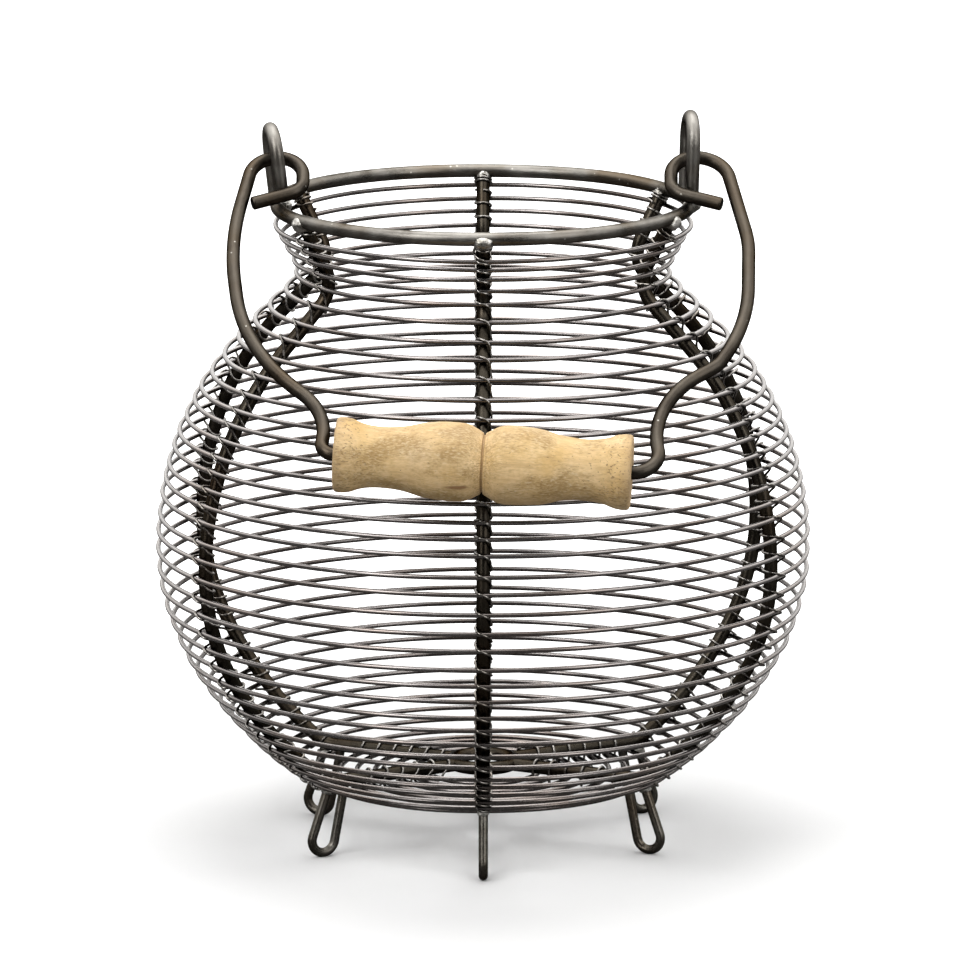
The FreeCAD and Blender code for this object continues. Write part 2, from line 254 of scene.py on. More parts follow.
def frames_along(points, closed):
    """Tangents and two side directions that turn as little as they can along the line."""
    if closed:
        tangents = np.roll(points, -1, 0) - np.roll(points, 1, 0)
    else:
        tangents = np.gradient(points, axis=0)
    tangents = tangents / np.linalg.norm(tangents, axis=1)[:, None]
    guide = np.array((0.0, 0.0, 1.0)) if abs(tangents[0][2]) < 0.9 else np.array((1.0, 0.0, 0.0))
    side = np.cross(tangents[0], guide)
    sides = [side / np.linalg.norm(side)]
    for i in range(1, len(points)):
        side = sides[-1] - tangents[i] * np.dot(sides[-1], tangents[i])
        sides.append(side / np.linalg.norm(side))
    sides = np.array(sides)
    ups = np.cross(tangents, sides)
    if closed:
        last = sides[-1] - tangents[0] * np.dot(sides[-1], tangents[0])
        gap = math.atan2(np.dot(last, ups[0]), np.dot(last, sides[0]))
        turn = -gap * np.arange(len(points)) / len(points)
        cosine, sine = np.cos(turn)[:, None], np.sin(turn)[:, None]
        sides, ups = sides * cosine + ups * sine, ups * cosine - sides * sine
    return sides, ups


class Shape:
    """Collects swept wires and lumps, then makes one piece of them."""

    def __init__(self):
        self.points = []
        self.faces = []
        self.uvs = []
        self.flat = []
        self.count = 0

    def add(self, points, faces, uvs, flat):
        """Takes in points in millimetres, faces that number them from 0, and whether each is flat."""
        self.points.append(points)
        self.faces += [tuple(self.count + i for i in face) for face in faces]
        self.uvs += uvs
        self.flat += flat
        self.count += len(points)

    def wire(self, line, radius, sides=12, closed=False, cut=0.22):
        """Sweeps a round wire along a line; an open wire ends in a flat cut with a rounded edge."""
        line = np.asarray(line, float)
        radii = np.broadcast_to(np.asarray(radius, float), (len(line),)).copy()
        if not closed:
            along_first = line[1] - line[0]
            along_last = line[-1] - line[-2]
            nip = cut * radii[0]
            first = line[0] + along_first / np.linalg.norm(along_first) * nip
            last = line[-1] - along_last / np.linalg.norm(along_last) * nip
            line = np.vstack([line[:1], first[None], line[1:-1], last[None], line[-1:]])
            radii = np.concatenate([[radii[0] * 0.8], radii, [radii[-1] * 0.8]])
        side, up = frames_along(line, closed)
        angles = np.linspace(0, 2 * math.pi, sides, endpoint=False)
        cosine, sine = np.cos(angles)[None, :, None], np.sin(angles)[None, :, None]
        skin = line[:, None] + radii[:, None, None] * (side[:, None] * cosine + up[:, None] * sine)
        count = len(line)
        steps = np.linalg.norm(np.diff(line, axis=0), axis=1)
        travelled = np.concatenate([[0.0], np.cumsum(steps)])
        if closed:
            travelled = np.append(travelled, travelled[-1] + np.linalg.norm(line[0] - line[-1]))
        girth = 2 * math.pi * radii.max() / sides
        faces, uvs = [], []
        for i in range(count if closed else count - 1):
            after = (i + 1) % count
            for j in range(sides):
                k = (j + 1) % sides
                faces.append((i * sides + j, i * sides + k, after * sides + k, after * sides + j))
                u0, u1 = travelled[i] * MM, travelled[i + 1] * MM
                v0, v1 = j * girth * MM, (j + 1) * girth * MM
                uvs += [u0, v0, u0, v1, u1, v1, u1, v0]
        flat = [False] * len(faces)
        points = skin.reshape(-1, 3)
        if not closed:
            faces.append(tuple(reversed(range(sides))))
            faces.append(tuple((count - 1) * sides + j for j in range(sides)))
            uvs += [0.0, 0.0] * (2 * sides)
            flat += [True, True]
        self.add(points, faces, uvs, flat)

    def lump(self, centre, half_sizes, seed, roughness=0.12, turn=0.0):
        """A lump of weld metal: an uneven ball with pits, stretched to half_sizes."""
        ball = bmesh.new()
        bmesh.ops.create_icosphere(ball, subdivisions=4, radius=1.0)
        cosine, sine = cos_sin(turn)
        points = []
        for vertex in ball.verts:
            way = vertex.co.normalized()
            swell = noise.noise(way * 1.6 + Vector((seed, 0, 0)))
            grain = noise.noise(way * 5.0 + Vector((0, seed, 0)))
            pit = max(noise.noise(way * 3.2 + Vector((0, 0, seed))) - 0.42, 0.0)
            reach = 1.0 + roughness * swell + 0.35 * roughness * grain - 2.0 * roughness * pit
            x, y, z = (reach * way[i] * half_sizes[i] for i in range(3))
            east = centre[0] + x * cosine - y * sine
            north = centre[1] + x * sine + y * cosine
            points.append((east, north, centre[2] + z))
        ball.verts.index_update()
        faces = [tuple(v.index for v in face.verts) for face in ball.faces]
        ball.free()
        uvs = []
        for face in faces:
            for i in face:
                uvs += [points[i][0] * MM, points[i][2] * MM]
        self.add(np.array(points), faces, uvs, [False] * len(faces))

    def piece(self, name, material, body, replaces=()):
        """Makes one object that rides on a body and stands for the CAD nodes it replaces."""
        mesh = bpy.data.meshes.new(name)
        mesh.from_pydata((np.vstack(self.points) * MM).tolist(), [], self.faces)
        mesh.polygons.foreach_set("use_smooth", [not flat for flat in self.flat])
        layer = mesh.uv_layers.new(name="along_wire")
        layer.data.foreach_set("uv", self.uvs)
        mesh.materials.append(material)
        mesh.update()
        made = bpy.data.objects.new(name, mesh)
        bpy.context.scene.collection.objects.link(made)
        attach(made, body)
        if replaces:
            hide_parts(*replaces)
        return made


# ---------------------------------------------------------------- materials


class Nodes:
    """Builds a node tree with short calls."""

    def __init__(self, tree, output):
        self.tree = tree
        self.tree.nodes.clear()
        self.output = self.node(output)

    def node(self, kind, **settings):
        made = self.tree.nodes.new(kind)
        for key, value in settings.items():
            setattr(made, key, value)
        return made

    def link(self, source, target):
        self.tree.links.new(source, target)

    def feed(self, node, inputs):
        for key, value in inputs.items():
            if isinstance(value, bpy.types.NodeSocket):
                self.link(value, node.inputs[key])
            else:
                node.inputs[key].default_value = value
        return node

    def place(self, kind, stretch=(1, 1, 1), shift=(0, 0, 0)):
        source = self.node("ShaderNodeTexCoord").outputs[kind]
        mapping = self.node("ShaderNodeMapping")
        self.feed(mapping, {"Vector": source, "Scale": stretch, "Location": shift})
        return mapping.outputs["Vector"]

    def noise(self, where, scale, detail=4.0, roughness=0.55, distortion=0.0):
        made = self.node("ShaderNodeTexNoise")
        self.feed(made, {"Vector": where, "Scale": scale, "Detail": detail,
                         "Roughness": roughness, "Distortion": distortion})
        return made.outputs["Fac"]

    def cells(self, where, scale):
        made = self.node("ShaderNodeTexVoronoi")
        self.feed(made, {"Vector": where, "Scale": scale})
        return made.outputs["Distance"]

    def spread(self, value, low, high, to_low=0.0, to_high=1.0, easing="LINEAR"):
        """Maps a value's range low..high to to_low..to_high, clamped."""
        made = self.node("ShaderNodeMapRange", interpolation_type=easing)
        self.feed(made, {"Value": value, "From Min": low, "From Max": high,
                         "To Min": to_low, "To Max": to_high})
        return made.outputs["Result"]

    def math(self, kind, first, second=0.0):
        made = self.node("ShaderNodeMath", operation=kind)
        self.feed(made, {0: first, 1: second})
        return made.outputs["Value"]

    def mix(self, share, first, second):
        """A colour that goes from first to second as share goes from 0 to 1."""
        made = self.node("ShaderNodeMix", data_type="RGBA")
        self.feed(made, {0: share})
        for socket, value in ((made.inputs[6], first), (made.inputs[7], second)):
            if isinstance(value, bpy.types.NodeSocket):
                self.link(value, socket)
            else:
                socket.default_value = (*value, 1.0)
        return made.outputs[2]

    def bump(self, height, distance, strength=1.0, below=None):
        made = self.node("ShaderNodeBump")
        self.feed(made, {"Height": height, "Distance": distance, "Strength": strength})
        if below is not None:
            self.link(below, made.inputs["Normal"])
        return made.outputs["Normal"]


class Recipe(Nodes):
    """A material's nodes, which end in one principled shader."""

    def __init__(self, name):
        self.material = bpy.data.materials.new(name)
        self.material.use_nodes = True
        super().__init__(self.material.node_tree, "ShaderNodeOutputMaterial")

    def finish(self, inputs):
        shader = self.feed(self.node("ShaderNodeBsdfPrincipled"), inputs)
        self.link(shader.outputs["BSDF"], self.output.inputs["Surface"])
        return self.material


def steel(name, dark, light, brown, shine, wear=0.5, specks=0.0, grain=1.0, edge=0.3):
    """Bare drawn steel: cloudy darkening, brown film, scratches along the wire, bright nicks."""
    mat = Recipe(name)
    space = mat.place("Object")
    along = mat.place("UV", stretch=(1, 14, 1))
    clouds = mat.noise(space, 95.0, detail=5.0)
    film = mat.noise(space, 38.0, detail=3.0)
    drawn = mat.noise(along, 520.0, detail=4.0, roughness=0.7)
    fine = mat.noise(space, 2600.0, detail=2.0)
    tone = mat.math("ADD", mat.math("MULTIPLY", clouds, 0.6), mat.math("MULTIPLY", drawn, 0.4))
    colour = mat.mix(mat.spread(tone, 0.36, 0.64), dark, light)
    colour = mat.mix(mat.spread(film, 0.46, 0.66, 0.0, 0.75), colour, brown)
    nicks = mat.spread(mat.cells(space, 260.0), 0.05, 0.09, specks, 0.0)
    bright = (0.62, 0.60, 0.55)
    colour = mat.mix(nicks, colour, bright)
    rough = mat.spread(clouds, 0.35, 0.65, shine - 0.10 * wear, shine + 0.16 * wear)
    rough = mat.math("ADD", rough, mat.spread(drawn, 0.4, 0.7, -0.05, 0.06))
    normal = mat.bump(drawn, 0.00006 * grain, 0.55)
    normal = mat.bump(fine, 0.00004 * grain, 0.5, normal)
    normal = mat.bump(clouds, 0.00035 * grain, 0.35, normal)
    return mat.finish({"Base Color": colour, "Metallic": 1.0, "Roughness": rough, "Normal": normal,
                       "Specular Tint": (edge, edge, edge, 1.0)})


def weld_metal():
    """Silvery weld metal with dark pits and heat-grey patches."""
    mat = Recipe("weld_metal")
    space = mat.place("Object")
    lumps = mat.noise(space, 420.0, detail=5.0, roughness=0.6)
    pits = mat.spread(mat.cells(space, 520.0), 0.08, 0.2, 1.0, 0.0)
    colour = mat.mix(mat.spread(lumps, 0.38, 0.62), (0.12, 0.114, 0.10), (0.40, 0.39, 0.37))
    colour = mat.mix(mat.math("MULTIPLY", pits, 0.6), colour, (0.05, 0.045, 0.04))
    normal = mat.bump(lumps, 0.0005, 0.7)
    normal = mat.bump(pits, -0.0002, 0.6, normal)
    rough = mat.spread(lumps, 0.35, 0.65, 0.24, 0.48)
    return mat.finish({"Base Color": colour, "Metallic": 1.0, "Roughness": rough, "Normal": normal})


def clean_wood(mat, along, streaks, bands, patches, rings_cut):
    """The bare wood's colour: pale and honey bands, fine streaks, rings from the lathe near the middle."""
    fibre = mat.noise(mat.place("Object", (0.07, 1, 1)), 2600.0, detail=3.0)
    colour = mat.mix(mat.spread(bands, 0.35, 0.65), (0.66, 0.455, 0.22), (0.78, 0.575, 0.305))
    colour = mat.mix(mat.spread(patches, 0.48, 0.68, 0.0, 0.7), colour, (0.62, 0.40, 0.145))
    colour = mat.mix(mat.spread(patches, 0.44, 0.30, 0.0, 0.6), colour, (0.73, 0.57, 0.35))
    colour = mat.mix(mat.spread(streaks, 0.48, 0.66, 0.0, 0.6), colour, (0.46, 0.30, 0.13))
    colour = mat.mix(mat.spread(fibre, 0.55, 0.75, 0.0, 0.35), colour, (0.40, 0.26, 0.12))
    turning = mat.math("MULTIPLY", mat.spread(rings_cut, 0.58, 0.70), mat.spread(along, 0.016, 0.004))
    return mat.mix(mat.math("MULTIPLY", turning, 0.45), colour, (0.38, 0.25, 0.12))


def wood_pores(mat, along, gathering):
    """How much of a dark pore shows: they gather in patches and towards the ends."""
    pores = mat.noise(mat.place("Object", (0.6, 1, 1)), 1900.0, detail=2.0, roughness=0.4)
    near_end = mat.spread(along, 0.024, 0.037, 0.0, 0.10)
    in_patch = mat.spread(gathering, 0.45, 0.65, 0.0, 0.06)
    limit = mat.math("SUBTRACT", 0.70, mat.math("ADD", near_end, in_patch))
    return mat.spread(mat.math("SUBTRACT", pores, limit), 0.0, 0.05)


def handled_wood(mat, colour, along, bands, gathering):
    """Hand grime with short dark flecks of raised grain and pale flecks of painted sheen on that grain, thick
    in some places, thin in others.
    """
    flecks = mat.noise(mat.place("Object", (0.3, 1, 1)), 2700.0, detail=3.0, roughness=0.6)
    thick = mat.spread(gathering, 0.40, 0.62, 0.15, 1.0)
    by_groove = mat.math("MULTIPLY", mat.spread(along, 0.010, 0.002), mat.spread(bands, 0.42, 0.56))
    thick = mat.math("MAXIMUM", thick, by_groove)
    grime = mat.math("MULTIPLY", mat.spread(gathering, 0.46, 0.66), 0.8)
    colour = mat.mix(grime, colour, (0.41, 0.27, 0.11))
    dark_flecks = mat.math("MULTIPLY", mat.spread(flecks, 0.47, 0.66), thick)
    sheen_flecks = mat.math("MULTIPLY", mat.spread(flecks, 0.47, 0.34), thick)
    colour = mat.mix(mat.math("MULTIPLY", dark_flecks, 0.7), colour, (0.30, 0.18, 0.065))
    # the pale flecks are painted sheen along the raised grain
    return mat.mix(mat.math("MULTIPLY", sheen_flecks, 0.4), colour, (0.80, 0.68, 0.48))


def knotted_wood(mat, colour, space, streaks):
    """A small knot on the front, low down beside the groove."""
    middle = (-0.0058, -0.0092, -0.0052)
    offset = mat.node("ShaderNodeVectorMath", operation="SUBTRACT")
    mat.feed(offset, {0: space, 1: middle})
    stretched = mat.node("ShaderNodeVectorMath", operation="MULTIPLY")
    mat.feed(stretched, {0: offset.outputs[0], 1: (0.6, 2.3, 2.3)})
    away = mat.node("ShaderNodeVectorMath", operation="LENGTH")
    mat.link(stretched.outputs[0], away.inputs[0])
    ragged = mat.math("ADD", away.outputs["Value"], mat.spread(streaks, 0.3, 0.7, -0.0011, 0.0011))
    return mat.mix(mat.spread(ragged, 0.0024, 0.0008, 0.0, 0.8), colour, (0.22, 0.10, 0.04))


def turned_wood():
    """Pale turned hardwood: fine grain along the grip, pores, hand grime, a small knot."""
    mat = Recipe("turned_wood")
    space = mat.place("Object")
    split = mat.node("ShaderNodeSeparateXYZ")
    mat.link(space, split.inputs[0])
    along = mat.math("ABSOLUTE", split.outputs["X"])
    streaks = mat.noise(mat.place("Object", (0.05, 1, 1)), 900.0, detail=6.0, roughness=0.65)
    bands = mat.noise(mat.place("Object", (0.12, 1, 1)), 120.0, detail=3.0, distortion=0.6)
    patches = mat.noise(space, 75.0, detail=3.0)
    rings_cut = mat.noise(mat.place("Object", (1, 0.015, 0.015)), 1500.0, detail=3.0)
    gathering = mat.noise(mat.place("Object", (0.6, 1, 1), shift=(0.03, 0.01, 0.0)), 130.0, detail=4.0)
    pores = wood_pores(mat, along, gathering)
    colour = clean_wood(mat, along, streaks, bands, patches, rings_cut)
    colour = mat.mix(mat.math("MULTIPLY", pores, 0.7), colour, (0.20, 0.125, 0.055))
    colour = handled_wood(mat, colour, along, bands, gathering)
    colour = knotted_wood(mat, colour, space, streaks)
    # painted shade along the groove line, and grime on the end faces
    groove = mat.spread(along, 0.0005, 0.0002, 0.0, 0.5)
    colour = mat.mix(groove, colour, (0.25, 0.15, 0.07))
    end_grime = mat.spread(patches, 0.35, 0.6, 0.25, 0.7)
    ends = mat.math("MULTIPLY", mat.spread(along, 0.0370, 0.0402), end_grime)
    colour = mat.mix(ends, colour, (0.42, 0.29, 0.16))
    normal = mat.bump(streaks, 0.00012, 0.5)
    normal = mat.bump(rings_cut, 0.00010, 0.45, normal)
    normal = mat.bump(pores, -0.00018, 0.6, normal)
    rough = mat.spread(patches, 0.3, 0.7, 0.50, 0.72)
    return mat.finish({"Base Color": colour, "Roughness": rough, "Normal": normal,
                       "Specular IOR Level": 0.35})


# each steel: its dark, light and brown colours, then its roughness
frame_steel = steel("frame_steel", (0.06, 0.055, 0.048), (0.185, 0.178, 0.165), (0.078, 0.06, 0.041),
                    0.34, specks=0.35)
bail_steel = steel("bail_steel", (0.026, 0.022, 0.018), (0.058, 0.051, 0.042), (0.041, 0.031, 0.021),
                   0.36, specks=0.22)
rib_steel = steel("rib_steel", (0.015, 0.013, 0.010), (0.038, 0.033, 0.026), (0.028, 0.020, 0.013),
                  0.25)
foot_steel = steel("foot_steel", (0.05, 0.047, 0.04), (0.13, 0.122, 0.108), (0.065, 0.05, 0.035),
                   0.28, specks=0.3)
hoop_steel = steel("hoop_steel", (0.115, 0.106, 0.103), (0.18, 0.168, 0.164), (0.12, 0.098, 0.086),
                   0.24, wear=0.2, grain=0.12, edge=0.9)
lash_steel = steel("lash_steel", (0.08, 0.075, 0.07), (0.26, 0.25, 0.235), (0.09, 0.075, 0.06),
                   0.17, wear=0.2, grain=0.2, edge=0.6)
weld = weld_metal()
wood = turned_wood()

# ---------------------------------------------------------------- rim, ribs, centre ring


def ring_line(centre, radius, count, dip=0.0):
    """Points round a ring that dips towards the front by some degrees, and each one's angle."""
    turns = np.linspace(0, 2 * math.pi, count, endpoint=False)
    line = np.stack([radius * np.cos(turns), radius * np.sin(turns), np.zeros(count)], 1)
    if dip:
        tip = math.radians(dip)
        line[:, 2] = line[:, 1] * math.sin(tip)
        line[:, 1] = line[:, 1] * math.cos(tip)
    return line + np.array(centre), turns


def make_rim():
    line, turns = ring_line((0, 0, RIM_HEIGHT), RIM_RADIUS, 360)
    line[:, 2] += 0.12 * ripple(turns * 2, 3)
    shape = Shape()
    shape.wire(line, HEAVY * (1 + 0.008 * ripple(turns * 9, 4)), sides=28, closed=True)
    shape.piece("rim_wire", frame_steel, "basket", ["rim_ring"])


def make_rib(name):
    """One heavy rib with a weld under the rim, one on its outer side and one at its foot."""
    azimuth = AZIMUTH[name]
    line = [on_azimuth(point, azimuth) for point in rib_line.samples(0.9)]
    shape = Shape()
    shape.wire(line, HEAVY, sides=24)
    shape.piece("rib_wire_" + name, rib_steel, "basket", ["rib_" + name])
    top = on_azimuth(complex(RIM_RADIUS + 0.5, RIM_HEIGHT - 1.0), azimuth)
    foot_top = on_azimuth(complex(50.3, BASE_HEIGHT - 2.6), azimuth)
    seed = RIB_NAMES.index(name) * 3.7
    welds = Shape()
    welds.lump(top, (2.3, 3.0, 2.15), seed + 1.3, turn=azimuth)
    welds.lump(on_azimuth(off_rib(0.9, 0.2), azimuth), (2.2, 2.2, 2.1), seed + 4.4, turn=azimuth)
    welds.lump(foot_top, (2.0, 1.7, 1.3), seed + 9.1, roughness=0.16, turn=azimuth)
    welds.piece("weld_" + name, weld, "basket")


def make_centre_ring():
    line, turns = ring_line((0, 0, BASE_HEIGHT), CENTRE_RING_RADIUS, 120)
    shape = Shape()
    shape.wire(line, HEAVY * (1 + 0.01 * ripple(turns * 3, 8)), sides=24, closed=True)
    shape.piece("centre_ring_wire", rib_steel, "basket", ["centre_ring"])


# ---------------------------------------------------------------- hoops

SORTED_AZIMUTHS = sorted(angle % 360.0 for angle in AZIMUTH.values())


def hand_worked(line, turns, seed, sway, sag):
    """Lets a ring wander between the ribs, where nothing holds it, and stay put on them."""
    chance = random.Random(seed)
    moved = line.copy()
    degrees = np.degrees(turns) % 360.0
    starts = SORTED_AZIMUTHS
    ends = SORTED_AZIMUTHS[1:] + [SORTED_AZIMUTHS[0] + 360.0]
    for start, end in zip(starts, ends):
        where = (degrees - start) % 360.0
        inside = where < end - start
        share = where[inside] / (end - start)
        bow = np.sin(math.pi * share)
        bow2 = np.sin(2 * math.pi * share)
        out = (chance.uniform(-0.5, 1.0) * bow + chance.uniform(-0.6, 0.6) * bow2) * sway
        drop = (chance.uniform(-1.0, 1.0) * bow + chance.uniform(-0.6, 0.6) * bow2) * sag
        moved[inside, 0] += out * np.cos(turns[inside])
        moved[inside, 1] += out * np.sin(turns[inside])
        moved[inside, 2] += drop
    return moved


def add_hoop(shape, ring, seed, sway=0.16, sag=0.16):
    """One thin ring; sway is how far it wanders in and out, sag up and down, in millimetres."""
    centre, radius, dip = ring
    line, turns = ring_line(centre, radius, 264, dip)
    shape.wire(hand_worked(line, turns, seed, sway, sag), THIN, sides=12, closed=True)


def make_hoops():
    for index, name in enumerate(FREE_HOOPS):
        shape = Shape()
        add_hoop(shape, free[index], 40 + index)
        shape.piece(name + "_wire", hoop_steel, "basket", [name])
    shape = Shape()
    for index, ring in enumerate(gathered):
        add_hoop(shape, ring, 10 + index, sway=0.22, sag=0.22)
    shape.piece("gathered_hoop_wires", hoop_steel, "basket", ["gathered_hoops"])
    shape = Shape()
    for index, ring in enumerate(base):
        add_hoop(shape, ring, 90 + index, sway=0.12, sag=0.1)
    shape.piece("base_ring_wires", hoop_steel, "basket", ["base_rings"])


# ---------------------------------------------------------------- lashings


CROWN_ANGLE = 16.0
SHOULDER_ANGLE = 46.0


def lash_radius(turn, arch):
    """How far the lashing is from the rib's middle: arched over the hoop outside, close to the rib inside."""
    low = HEAVY + LASH + 0.03
    high = HEAVY + 2 * THIN + LASH + arch
    away = abs((turn + 180.0) % 360.0 - 180.0)
    fall = min(max((away - CROWN_ANGLE) / SHOULDER_ANGLE, 0.0), 1.0)
    return high + (low - high) * fall * fall * (3 - 2 * fall)


def lash_point(azimuth, crossings, turns, arches):
    """Where the lashing is after some turns; each whole turn passes over one hoop."""
    index = min(max(int(math.floor(turns)), 0), len(crossings) - 2)
    gap = crossings[index + 1] - crossings[index]
    # the wire comes in nearly level on one side, then drops steeply on the other
    angle = 2 * math.pi * turns
    drop = 0.1675 + 0.155 * math.sin(angle) - 0.14 * math.cos(angle) - 0.0475 * math.cos(2 * angle)
    distance = crossings[index] + gap * (turns - index + drop)
    nearest = min(max(int(round(turns)), 0), len(arches) - 1)
    reach = lash_radius(360.0 * turns, arches[nearest])
    return on_azimuth(off_rib(distance, reach * math.cos(angle)), azimuth, reach * math.sin(angle))


def lash_line(azimuth, crossings, seed):
    chance = random.Random(seed)
    arches = [SLACK + chance.uniform(0.02, 0.2) for _ in crossings]
    per_turn = 36
    count = len(crossings) * per_turn
    return [lash_point(azimuth, crossings, i / per_turn - 0.5, arches) for i in range(count + 1)]


def first_wraps(azimuth, last, seed):
    """Close wraps under the rim with a loose end sticking out."""
    chance = random.Random(seed)
    count = 1.6 + chance.random()
    turned_to = chance.uniform(0.0, 1.0)
    spring = chance.uniform(8.0, 11.0)
    line = []
    steps = 59
    for i in range(steps + 1):
        share = i / steps
        angle = 2 * math.pi * (turned_to + count * share)
        loose = max(share - 0.86, 0.0) * spring
        reach = HEAVY + LASH + 0.05 + loose
        distance = last - 0.85 * count * (1 - share) + 0.9 * loose
        point = off_rib(distance, reach * math.cos(angle))
        line.append(on_azimuth(point, azimuth, reach * math.sin(angle)))
    return line


def dip_at(ring, azimuth):
    """How far down the rib a dipping ring crosses, against its middle height."""
    _, radius, dip = ring
    rise = radius * math.sin(math.radians(dip)) * math.sin(math.radians(azimuth))
    return -rise / math.cos(math.radians(NECK_LEAN))


def make_lashing(name):
    """The binding on one rib: a run over the outer hoops, the first wraps, a run over the base rings."""
    azimuth = AZIMUTH[name]
    outer_count = len(gathered) + len(free) + 2
    outer = [stations[k] + dip_at(rings[k], azimuth) for k in range(outer_count)]
    outer = [distance for distance in outer if distance > 3.6]
    inner = stations[outer_count + 1:]
    seed = 200 + 10 * RIB_NAMES.index(name)
    shape = Shape()
    shape.wire(lash_line(azimuth, outer, seed), LASH, sides=8)
    shape.wire(first_wraps(azimuth, min(outer[0] - 2.2, 3.4), seed + 2), LASH, sides=8)
    shape.wire(lash_line(azimuth, inner, seed + 1), LASH, sides=8)
    shape.piece("lashing_wire_" + name, lash_steel, "basket", ["lashing_" + name])


# ---------------------------------------------------------------- ears, feet


def staple_outline(half, foot_level, crown):
    """Up one leg, over a half circle and down the other: (distance from the middle, height)."""
    steps = 14
    leg = crown - foot_level
    outline = [(-half, foot_level + leg * i / steps) for i in range(steps)]
    for degrees in range(0, 181, 5):
        cosine, sine = cos_sin(degrees)
        outline.append((-half * cosine, crown + half * sine))
    outline += [(half, crown - leg * i / steps) for i in range(1, steps + 1)]
    return outline


def make_ear(name, side, centre_x, yaw, lean, half=7.5):
    """A staple standing on the rim, turned by yaw and leaning outwards (degrees)."""
    foot_level = RIM_HEIGHT + 0.6
    _, high = box_mm("ear_" + name)
    upright, outwards = cos_sin(lean)
    crown = foot_level + (high[2] - HEAVY - foot_level) / upright - half
    cosine, sine = cos_sin(yaw)
    line = []
    for along, height in staple_outline(half, foot_level, crown):
        rise = height - foot_level
        out = side * rise * outwards
        place = (centre_x - sine * along + cosine * out, cosine * along + sine * out)
        line.append((*place, foot_level + rise * upright))
    shape = Shape()
    shape.wire(line, HEAVY, sides=28)
    shape.piece("ear_wire_" + name, frame_steel, "basket", ["ear_" + name])
    welds = Shape()
    for i, reach in enumerate((-half, half)):
        spot = (centre_x - sine * reach, cosine * reach, RIM_HEIGHT + 0.8)
        welds.lump(spot, (2.5, 2.5, 2.0), side * 2.2 + i * 5.1, roughness=0.1)
    welds.piece("ear_weld_" + name, weld, "basket")


def make_foot(name):
    """A teardrop loop of lighter wire, worn flat where it stands."""
    azimuth = AZIMUTH[name]
    line = Bend((50.0, BASE_HEIGHT - 1.0), 290.1, [(None, 15.2), (3.6, -188.3), (None, 16.7)])
    points = np.array([on_azimuth(point, azimuth) for point in line.samples(0.45)])
    shape = Shape()
    shape.wire(points, FOOT, sides=20)
    worn_level = 0.02
    for block in shape.points:
        block[:, 2] = np.maximum(block[:, 2], worn_level)
    shape.piece("foot_wire_" + name, foot_steel, "basket", ["foot_" + name])


# ---------------------------------------------------------------- bail and grip

# the bail's corners in its own plane: along the pivot, down the bail, bend radius
BAIL = [
    (-64.2, 18.8, 0), (-50.2, 13.6, 5.0), (-50.2, 0.0, 7.0), (-64.0, 1.8, 8.0),
    (-70.1, 34.0, 100.0), (-65.3, 75.6, 60.0), (-42.0, 97.9, 20.0),
    (-44.1, GRIP_DOWN - 44.1 * GRIP_RISE, 3.5),
    (48.3, GRIP_DOWN + 48.3 * GRIP_RISE, 7.0),
    (44.8, 94.5, 29.0), (63.8, 80.6, 9.3), (72.4, 65.9, 58.0), (73.4, 33.7, 42.0),
    (67.2, 1.6, 9.6), (52.3, 0.0, 7.0), (52.3, 14.2, 5.0), (66.3, 19.1, 0),
]


def rounded(corners, step):
    """Points along a line of corners, each rounded to its own radius."""
    runs = []
    here = np.array(corners[0][:2])
    for before, corner, after in zip(corners, corners[1:], corners[2:]):
        point = np.array(corner[:2])
        back = np.array(before[:2]) - point
        ahead = np.array(after[:2]) - point
        back, ahead = back / np.linalg.norm(back), ahead / np.linalg.norm(ahead)
        half = math.acos(np.clip(back @ ahead, -1, 1)) / 2
        reach = corner[2] / math.tan(half)
        start, end = point + reach * back, point + reach * ahead
        middle = (back + ahead) / np.linalg.norm(back + ahead)
        hub = point + middle * corner[2] / math.sin(half)
        runs.append(line_points(here, start, step))
        arm, far = start - hub, end - hub
        sweep = math.atan2(arm[0] * far[1] - arm[1] * far[0], arm @ far)
        count = max(int(abs(sweep) * corner[2] / step), 4)
        for i in range(count):
            turn = sweep * i / count
            cosine, sine = math.cos(turn), math.sin(turn)
            runs.append(hub + np.array([[arm[0] * cosine - arm[1] * sine, arm[0] * sine + arm[1] * cosine]]))
        here = end
    runs.append(line_points(here, np.array(corners[-1][:2]), step))
    runs.append(np.array([corners[-1][:2]]))
    return np.vstack(runs)


def line_points(start, end, step):
    """Points about one step apart from start up to, but not including, end."""
    count = max(int(np.linalg.norm(end - start) / step), 1)
    return np.array([start + (end - start) * i / count for i in range(count)])


def make_bail():
    """The bent wire, laid in the plane that droops from the pivot over the front."""
    plane = rounded(BAIL, 0.8)
    steps = np.concatenate([[0.0], np.cumsum(np.linalg.norm(np.diff(plane, axis=0), axis=1))])
    across, down = plane[:, 0], plane[:, 1]
    line = np.stack([across, -down * math.cos(DROOP), PIVOT[2] - down * math.sin(DROOP)], 1)
    shape = Shape()
    shape.wire(line, HEAVY * (1 + 0.006 * ripple(steps / 9, 5)), sides=32, cut=0.16)
    shape.piece("bail_bent_wire", bail_steel, "bail", ["bail_wire"])


GRIP_HALF = 40.1
BORE = 1.98


def half_profile():
    """Distance from the middle and radius along one half of the grip, from groove to end."""
    groove = [(0.0, 7.7), (0.2, 7.75), (0.35, 8.2), (0.9, 8.6), (1.6, 9.0)]
    swell = [(4.5, 10.4), (9.6, 10.68), (16.0, 10.05)]
    waist = [(21.0, 8.85), (27.5, 8.25), (32.3, 8.75)]
    end = [(36.0, 9.95), (38.4, 10.2), (39.4, 10.1), (39.9, 9.7), (40.1, 9.1)]
    return groove + swell + waist + end


